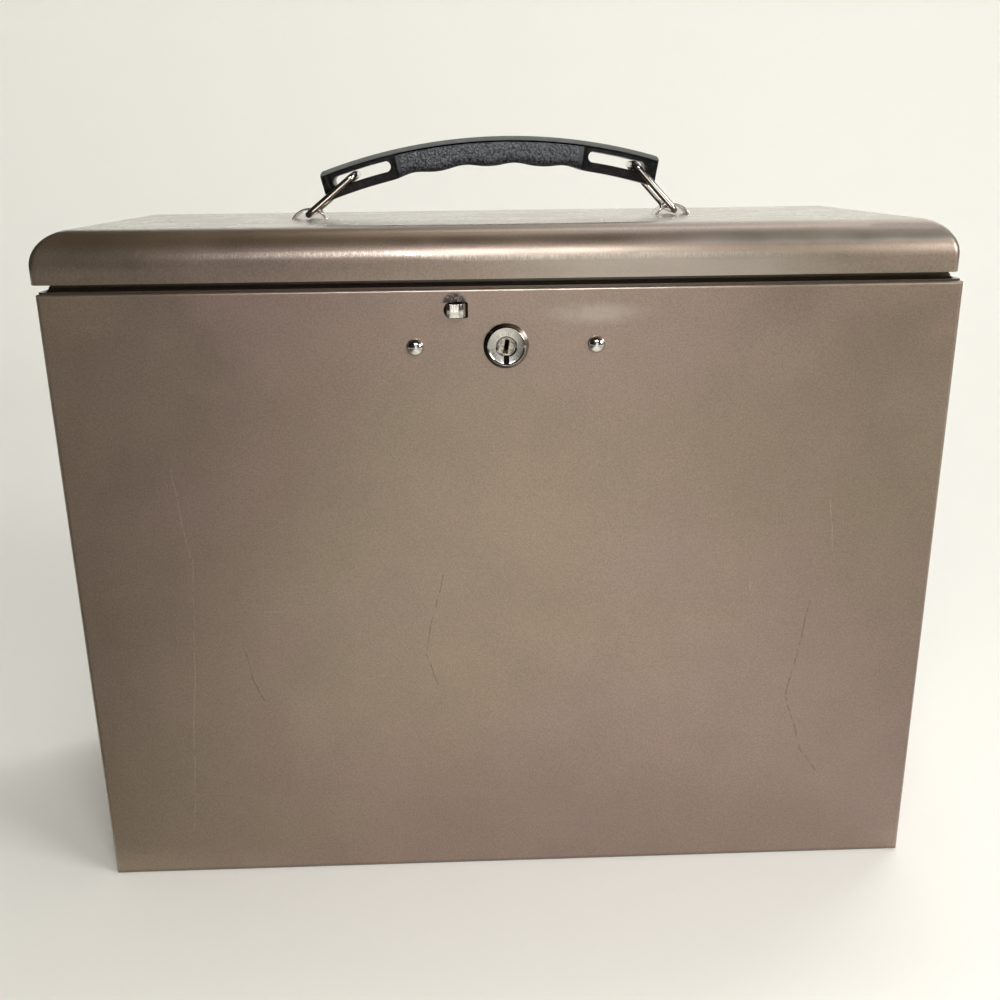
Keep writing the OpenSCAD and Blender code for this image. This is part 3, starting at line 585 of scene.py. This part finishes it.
# The keyway is painted near-black: painted shade in its hollow.
keyway_shade = across.ramp(1.05 * MM, 0.85 * MM) * along.ramp(2.95 * MM, 2.75 * MM)
swirl = plug_metal.noise(900, 3, 0.6)
tone = plug_metal.mix(swirl.ramp(0.35, 0.7), colour(178, 174, 165), colour(122, 116, 106))
plug_metal.set("Base Color", plug_metal.mix(keyway_shade, tone, colour(20, 18, 16)))
plug_metal.set("Roughness", swirl.ramp(0.3, 0.7, 0.2, 0.36))
plug_metal.relief(swirl, 0.02 * MM)
plug_metal.cover(nodes["lock_plug"])
plug_ring = turned("plug_ring", (0, lock_height), [
    (3.05, 1.5), (3.7, 1.5), (3.7, 1.82), (3.6, 1.93), (3.4, 1.97), (3.2, 1.93), (3.05, 1.8),
    (3.05, 1.5),
], 64)
plug_metal.cover(plug_ring)
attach(plug_ring, "plug")

# Thumb catch
# A flat steel slide behind the panel. A strip of it is bent out through the
# slot and curled over to the left for the thumb, and a lug stands up behind.
# The tab is nickel-bright, and the slide behind the panel is painted near-black
# as painted shade for the dark slot.
catch_height = 259.5
slide = block("thumb_catch", (-29.1, -76.4, 256.0), (6.6, -75.2, 263.0))
pick(slide, "EDGE", lambda edge: edge.calc_length() > 6 * MM)
bpy.ops.mesh.bevel(offset=0.25 * MM, segments=2)
bpy.ops.object.mode_set(mode="OBJECT")
carve(slide, block("lug", (-23.1, -75.6, 257.8), (-21.9, -60.4, 261.2)), "UNION")

hold(None)
bpy.ops.mesh.primitive_plane_add(
    size=1, rotation=(0, math.pi / 2, 0), location=(-16.8 * MM, -78.1 * MM, (catch_height + 0.35) * MM)
)
tab = bpy.context.object
tab.name = "tab"
tab.scale = (5.2 * MM, 4.6 * MM, 1)
settle(tab)
pick(tab, "EDGE", lambda edge: all(point.co.y < -80 * MM for point in edge.verts))
for turn, centre, run in ((90, (-19.3, -80.4), -2.9), (52, (-22.2, -81.7), -0.5)):
    bpy.ops.mesh.spin(
        steps=10, angle=math.radians(turn), axis=(0, 0, 1),
        center=(centre[0] * MM, centre[1] * MM, catch_height * MM),
    )
    if turn == 90:
        bpy.ops.mesh.extrude_edges_move()
        bpy.ops.transform.translate(value=(run * MM, 0, 0))
bpy.ops.transform.resize(value=(1, 1, 0.7))
close(tab, 40)
work(tab, "SOLIDIFY", thickness=1.2 * MM, offset=0)
work(tab, "BEVEL", width=0.3 * MM, segments=3, limit_method="ANGLE", angle_limit=math.radians(40))
carve(slide, tab, "UNION")
close(slide, 40)
catch_metal = Finish("catch_nickel", metallic=1.0)
x, y, z = catch_metal.axes()
# Painted shade: the slide behind the panel is darkened, for the shade in the slot.
shaded_behind_panel = y.ramp(-78.2 * MM, -77.2 * MM)
wear = catch_metal.noise(1, 3, 0.6, place=catch_metal.stretch(2400, 2400, 300))
tone = catch_metal.mix(wear.ramp(0.4, 0.8), colour(222, 219, 212), colour(176, 170, 158))
catch_metal.set("Base Color", catch_metal.mix(shaded_behind_panel, tone, colour(34, 31, 28)))
catch_metal.set("Roughness", shaded_behind_panel * 0.35 + wear.ramp(0.3, 0.7, 0.1, 0.22))
catch_metal.relief(wear, 0.01 * MM)
catch_metal.cover(slide)
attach(slide, "catch")
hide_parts("catch_slide")

# Lid
# A shallow pressed tray turned upside down: its four top edges are rolled over
# in one wide bend and mitred at the corners. Hands and shelves rubbed flecks
# into the roll. Painted highlights along the roll and a painted sheen low on the
# front make it lighter towards the right, and a painted olive reflection tints
# the top of the roll at the left.
sheet = 0.8 * MM
lid_wide, lid_deep, lid_shift = 369.6 * MM, 154 * MM, -1.9 * MM
lid_low, lid_top, lid_roll, lid_corner = 271.5 * MM, 292 * MM, 14 * MM, 3.2 * MM
hold(None)
bpy.ops.mesh.primitive_plane_add(size=1, location=(lid_shift, 0, lid_low))
lid = bpy.context.object
lid.name = "lid_pressing"
lid.scale = (lid_wide, lid_deep, 1)
settle(lid)
pick(lid, "VERT")
bpy.ops.mesh.bevel(offset=lid_corner, segments=6, affect="VERTICES")
pick(lid, "FACE")
bpy.ops.mesh.delete(type="ONLY_FACE")
pick(lid, "EDGE")
bpy.ops.mesh.extrude_edges_move()
bpy.ops.transform.translate(value=(0, 0, lid_top - lid_roll - lid_low))
roll_steps = 18
was_in, was_up = 0.0, 0.0
for step in range(1, roll_steps + 1):
    turn = step / roll_steps * math.pi / 2
    inward, upward = lid_roll * (1 - math.cos(turn)), lid_roll * math.sin(turn)
    bpy.ops.mesh.extrude_edges_move()
    bpy.ops.transform.translate(value=(0, 0, upward - was_up))
    bpy.ops.transform.resize(
        value=((lid_wide - 2 * inward) / (lid_wide - 2 * was_in),
               (lid_deep - 2 * inward) / (lid_deep - 2 * was_in), 1),
        center_override=(lid_shift, 0, lid_low),
    )
    was_in, was_up = inward, upward
bpy.ops.mesh.edge_face_add()
bpy.ops.mesh.inset(thickness=3 * MM)
close(lid)
work(lid, "SOLIDIFY", thickness=sheet, offset=-1, use_even_offset=True)
pick(lid, "EDGE", lambda edge: edge.calc_face_angle(0) > 1
     and all(point.co.z < lid_low + 0.01 * MM for point in edge.verts))
bpy.ops.mesh.bevel(offset=0.25 * MM, segments=2)
bpy.ops.object.mode_set(mode="OBJECT")

saddle_pitch, saddle_shift = 165.2, -3
leg_out = 7.7
for side in (-1, 1):
    for leg in (-1, 1):
        middle_x = saddle_shift + side * saddle_pitch / 2 + leg * leg_out
        carve(lid, block("slit", (middle_x - 0.6, -5.6, 289), (middle_x + 0.6, 5.6, 294)))
close(lid)

lid_paint, tone = enamel("lid_enamel", (142, 127, 115), 0.4)
x, y, z = lid_paint.axes()
ticks = lid_paint.noise(1, 3, 0.8, place=lid_paint.stretch(1300, 1300, 260)).ramp(0.46, 0.62)
grains = lid_paint.noise(1700, 3, 0.8).ramp(0.5, 0.64)
# Two light lines along the roll: the low one rubbed flecks and a painted highlight, the high one on the right
# a painted highlight.
line_height = x.ramp(-50 * MM, -10 * MM, 281.8 * MM, 279.8 * MM)
low_rub_and_highlight = abs(z - line_height).ramp(1.7 * MM, 0.3 * MM) * x.ramp(-140 * MM, -95 * MM)
low_rub_and_highlight = low_rub_and_highlight * x.ramp(130 * MM, 80 * MM)
high_painted_highlight = abs(z - 285.6 * MM).ramp(2.6 * MM, 0.4 * MM) * x.ramp(40 * MM, 110 * MM)
rub_and_highlight = (low_rub_and_highlight * (ticks.largest(grains) * 0.8 + 0.2)).largest(high_painted_highlight * 1.2)
# A painted sheen: the lower front of the lid lighter, right of the middle.
painted_sheen = x.ramp(-20 * MM, 50 * MM) * x.ramp(150 * MM, 95 * MM) * z.ramp(282 * MM, 277 * MM)
# A painted reflection: an olive tint on the upper roll, strongest at the left.
painted_olive_reflection = z.ramp(284 * MM, 288 * MM) * z.ramp(291.8 * MM, 290 * MM) * x.ramp(60 * MM, -60 * MM)
tone = lid_paint.mix(painted_olive_reflection * 0.5, tone, colour(146, 122, 84))
tone = lid_paint.mix(painted_sheen * 0.45, tone, colour(196, 189, 178))
tone = lid_paint.mix(rub_and_highlight * 0.55, tone, colour(216, 208, 194))
lid_paint.set("Base Color", tone)
polish = rub_and_highlight * 0.06 + z.ramp(291.0 * MM, 291.9 * MM) * 0.13
lid_paint.set("Roughness", lid_paint.noise(30, 4, 0.6).ramp(0.3, 0.7, 0.36, 0.46) - polish)
lid_paint.cover(lid)
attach(lid, "lid")
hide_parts("lid_shell")

# Saddles
# Two strips of nickel-plated spring steel, arched over the lower ends of the
# links. Their legs go through slits in the lid and are clenched under it.
saddle_wide, strip = 11.0, 0.9
arch_middle, arch_radius = 287.73, 8.62
arch_turn = math.radians(63)
lid_inside = 291.2
leg_rise = arch_middle + arch_radius * math.cos(arch_turn) - lid_inside + strip / 2
for side, label in ((-1, "left"), (1, "right")):
    middle_x = saddle_shift + side * saddle_pitch / 2
    foot = arch_radius * math.sin(arch_turn)
    hold(None)
    bpy.ops.mesh.primitive_plane_add(size=1, location=(
        (middle_x - foot - 2.4) * MM, 0, (lid_inside - strip / 2) * MM))
    saddle = bpy.context.object
    saddle.name = "saddle_strap_" + label
    saddle.scale = (4.8 * MM, saddle_wide * MM, 1)
    settle(saddle)
    edge_x = (middle_x - foot - 0.05) * MM
    pick(saddle, "EDGE", lambda edge: all(point.co.x > edge_x for point in edge.verts))
    bpy.ops.mesh.extrude_edges_move()
    bpy.ops.transform.translate(value=(0, 0, leg_rise * MM))
    bpy.ops.mesh.spin(
        steps=24, angle=-2 * arch_turn, center=(middle_x * MM, 0, arch_middle * MM), axis=(0, 1, 0)
    )
    bpy.ops.mesh.extrude_edges_move()
    bpy.ops.transform.translate(value=(0, 0, -leg_rise * MM))
    bpy.ops.mesh.extrude_edges_move()
    bpy.ops.transform.translate(value=(4.8 * MM, 0, 0))
    close(saddle, 50)
    work(saddle, "SOLIDIFY", thickness=strip * MM, offset=0)
    work(saddle, "BEVEL", width=0.2 * MM, segments=2, limit_method="ANGLE",
         angle_limit=math.radians(60))
    close(saddle, 50)
    nickel.cover(saddle)
    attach(saddle, "lid")
    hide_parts("saddle_" + label)

# Links
# Rings of bright wire, bent to a long rectangle and butted. The lower bar lies
# under the saddle and the upper bar runs in the slot of the handle.
wire, link_wide, link_reach, link_bend = 1.4, 22.6, 27.6, 3.2
bar_height = 294.0
link_turns = {"left": -38.38, "right": 46.84 + 180}
for side, label in ((-1, "left"), (1, "right")):
    hold(None)
    half = link_wide / 2 - link_bend
    bpy.ops.mesh.primitive_circle_add(
        vertices=24, radius=wire * MM, location=(0, -half * MM, 0),
        rotation=(math.pi / 2, 0, 0),
    )
    link = bpy.context.object
    link.name = "wire_link_" + label
    settle(link)
    pick(link, "EDGE")
    far = link_reach - link_bend
    for run, centre in (
        ((0, 2 * half, 0), (link_bend, half, 0)),
        ((link_reach - 2 * link_bend, 0, 0), (far, half, 0)),
        ((0, -2 * half, 0), (far, -half, 0)),
        ((2 * link_bend - link_reach, 0, 0), (link_bend, -half, 0)),
    ):
        bpy.ops.mesh.extrude_edges_move()
        bpy.ops.transform.translate(value=Vector(run) * MM)
        bpy.ops.mesh.spin(
            steps=10, angle=math.radians(90), center=Vector(centre) * MM, axis=(0, 0, 1)
        )
    close(link, 60)
    middle_x = saddle_shift + side * saddle_pitch / 2
    link.matrix_world = Matrix.Translation(Vector((middle_x, 0, bar_height)) * MM) @ (
        Matrix.Rotation(math.radians(link_turns[label]), 4, "Y"))
    settle(link)
    nickel.cover(link)
    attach(link, "link_" + label)
    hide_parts("link_" + label)

# Handle core
# The inner moulding of the handle, semi-gloss black: a band along the whole
# top, a slotted block at each end with a raised lip round the slot, and a rib
# that the grip is moulded round. It is made straight and bent to its arch.
arch_radius_top, arch_x, arch_z = 246.0, 3.956, 80.635
handle_tilt = math.radians(1.9)
handle_half = arch_radius_top * math.asin(76.1 / arch_radius_top)
handle_deep, band_thick, band_half, core_half = 12.6, 1.8, 9.1, 7.5
grip_half, grip_wide = 43.0, 21.0
slot_middle, slot_half, slot_depth, slot_high = 59.4, 13.85, 6.2, 4.7
top_corner = 2.6
end_lean = math.radians(6.5)
wave_step, wave_deep = 24.02, 1.25


def slice_up(piece, half, step):
    """Cuts a straight piece across at even steps, so that it can be bent smoothly."""
    pick(piece, "FACE")
    cuts = int(half / step)
    for i in range(-cuts, cuts + 1):
        bpy.ops.mesh.select_all(action="SELECT")
        bpy.ops.mesh.bisect(plane_co=(i * step * MM, 0, 0), plane_no=(1, 0, 0))
    bpy.ops.object.mode_set(mode="OBJECT")


def bend_to_arch(piece):
    """Bends a straight piece round the arch and stands it where the handle stands."""
    quarter = math.pi / 2
    piece.rotation_euler.x = -quarter
    settle(piece)
    xs = [point.co.x for point in piece.data.vertices]
    work(piece, "SIMPLE_DEFORM", deform_method="BEND", deform_axis="Z",
         angle=-(max(xs) - min(xs)) / (arch_radius_top * MM))
    piece.matrix_world = (
        Matrix.Translation(Vector((arch_x, 0, arch_z)) * MM)
        @ Matrix.Rotation(-handle_tilt, 4, "Y")
        @ Matrix.Translation(Vector((0, 0, arch_radius_top)) * MM)
        @ Matrix.Rotation(quarter, 4, "X")
    )
    settle(piece)


def stadium(name, middle_x, half, depth, high, deep):
    """A block with round ends across the handle, for a slot or its lip."""
    piece = block(name, (middle_x - half, -deep, -depth - high / 2),
                  (middle_x + half, deep, -depth + high / 2))
    pick(piece, "EDGE", lambda edge: abs(edge.verts[0].co.y - edge.verts[1].co.y) > deep * MM)
    bpy.ops.mesh.bevel(offset=high / 2 * MM * 0.999, segments=10)
    bpy.ops.object.mode_set(mode="OBJECT")
    return piece


def hollow(x):
    """How far a finger hollow lifts the handle's underside, in metres."""
    place = abs(x) / MM
    if place > 2 * wave_step:
        return 0.0
    swing = 2 * math.pi * (place - wave_step / 2) / wave_step
    return wave_deep * (0.5 + 0.5 * math.cos(swing)) ** 1.15 * MM


core = block("handle_core_moulding", (-handle_half - 2, -band_half, -handle_deep),
             (handle_half + 2, band_half, 0))
for side in (-1, 1):
    pick(core, "FACE")
    bpy.ops.mesh.bisect(
        plane_co=(side * handle_half * MM, 0, 0),
        plane_no=(side * math.cos(end_lean), 0, math.sin(end_lean)),
        clear_outer=True, use_fill=True,
    )
    pick(core, "EDGE", lambda edge: all(
        side * point.co.x > (handle_half - 1) * MM and point.co.z > -0.1 * MM
        for point in edge.verts))
    bpy.ops.mesh.bevel(offset=top_corner * MM, segments=8)
bpy.ops.object.mode_set(mode="OBJECT")
for side in (-1, 1):
    carve(core, block("flank", (-90, side * core_half, -20) if side > 0 else (-90, -20, -20),
                      (90, 20, -band_thick) if side > 0 else (90, -core_half, -band_thick)))
    carve(core, block("waist", (-grip_half, 4.5, -20) if side > 0 else (-grip_half, -20, -20),
                      (grip_half, 20, -band_thick) if side > 0 else (grip_half, -4.5, -band_thick)))
carve(core, block("belly", (-grip_half, -20, -20), (grip_half, 20, 3 - handle_deep)))
for side in (-1, 1):
    carve(core, stadium("lip", side * slot_middle, slot_half + 1.0, slot_depth,
                        slot_high + 1.7, core_half + 0.35), "UNION")
    carve(core, stadium("slot", side * slot_middle, slot_half, slot_depth, slot_high, 20))
pick(core, "EDGE", lambda edge: all(
    abs(point.co.y) > (band_half - 0.01) * MM and point.co.z > -0.01 * MM for point in edge.verts))
bpy.ops.mesh.bevel(offset=0.8 * MM, segments=5)
bpy.ops.object.mode_set(mode="OBJECT")
work(core, "BEVEL", width=0.3 * MM, segments=2, limit_method="ANGLE",
     angle_limit=math.radians(40), use_clamp_overlap=True)
slice_up(core, handle_half, 2.5)
for point in core.data.vertices:
    if point.co.z < 0.6 * MM - handle_deep * MM and abs(point.co.x) > (grip_half - 0.4) * MM:
        point.co.z += hollow(point.co.x)
bend_to_arch(core)
close(core, 35)

black = Finish("black_moulding", specular_ior_level=0.12)
x, y, z = black.axes()
off_x, off_z = x - arch_x * MM, z - arch_z * MM
from_centre = (off_x * off_x + off_z * off_z) ** 0.5
band_painted_highlight = from_centre.ramp((arch_radius_top - band_thick - 0.1) * MM,
                           (arch_radius_top - band_thick + 0.1) * MM)
scuff = black.noise(1, 4, 0.65, place=black.stretch(220, 900, 900)).ramp(0.45, 0.7)
haze = black.noise(120, 3, 0.6)
# The top band is painted grey: a painted highlight for the light on its upward face.
tone = black.mix(band_painted_highlight, colour(15, 16, 17), colour(98, 102, 99))
black.set("Base Color", black.mix(scuff * (band_painted_highlight * 0.4 + 0.08), tone, colour(120, 122, 120)))
black.set("Roughness", band_painted_highlight * 0.12 + haze.ramp(0.3, 0.7, 0.24, 0.36))
black.relief(haze + scuff * 0.2, 0.02 * MM)
black.cover(core)
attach(core, "handle")
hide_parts("handle_core")

# Grip
# Soft black vinyl moulded round the rib, with four shallow hollows for the
# fingers and a pebbled leather grain that stops short of its two ends.
grip_top, low_round = 2.5, 4.0
grip = block("finger_grip", (-grip_half, -grip_wide / 2, -handle_deep),
             (grip_half, grip_wide / 2, -grip_top))
slice_up(grip, grip_half - 0.5, 1.0)
pick(grip, "VERT")
mesh = bmesh.from_edit_mesh(grip.data)
for point in mesh.verts:
    if point.co.z < -10 * MM:
        point.co.z += hollow(point.co.x)
bmesh.update_edit_mesh(grip.data)


def lengthwise(edge, wanted_low):
    one, other = edge.verts
    along = abs(one.co.x - other.co.x) > 0.5 * abs(one.co.z - other.co.z)
    outer = all(abs(point.co.y) > (grip_wide / 2 - 0.01) * MM for point in edge.verts)
    low = all(point.co.z < -9 * MM for point in edge.verts)
    high = all(point.co.z > -3 * MM for point in edge.verts)
    return along and outer and one.co.y * other.co.y > 0 and (low if wanted_low else high)


pick(grip, "EDGE", lambda edge: lengthwise(edge, True))
bpy.ops.mesh.bevel(offset=low_round * MM, segments=10)
pick(grip, "EDGE", lambda edge: lengthwise(edge, False))
bpy.ops.mesh.bevel(offset=0.9 * MM, segments=4)
bpy.ops.object.mode_set(mode="OBJECT")
bend_to_arch(grip)
work(grip, "BEVEL", width=0.5 * MM, segments=3, limit_method="ANGLE",
     angle_limit=math.radians(50))
close(grip, 40)

vinyl = Finish("grained_vinyl")
x, y, z = vinyl.axes()
off_x, off_z = x - arch_x * MM, z - arch_z * MM
around = off_x.sum("ARCTAN2", off_z) + handle_tilt
grained = abs(around * arch_radius_top).ramp(grip_half - 1.6, grip_half - 2.4)
wander = vinyl.noise(500, 2) * (0.9 * MM)
pebble_place = vinyl.point(x + wander, y + wander, z - wander)
pebble = vinyl.node(
    "ShaderNodeTexVoronoi", {"Vector": pebble_place, "Scale": 1150}, output="Distance",
    feature="SMOOTH_F1",
).ramp(0.1, 0.75, 1.0, 0.0)
fine = vinyl.noise(2600, 2)
height = (pebble + fine * 0.25) * grained
tone = vinyl.mix(pebble, colour(14, 16, 19), colour(86, 90, 96))
vinyl.set("Base Color", vinyl.mix(1 - grained, tone, colour(52, 54, 57)))
vinyl.set("Roughness", vinyl.noise(90, 3).ramp(0.3, 0.7, 0.36, 0.5) - pebble * grained * 0.08)
vinyl.relief(height, 0.16 * MM)
vinyl.cover(grip)
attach(grip, "handle")
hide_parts("handle_grip")
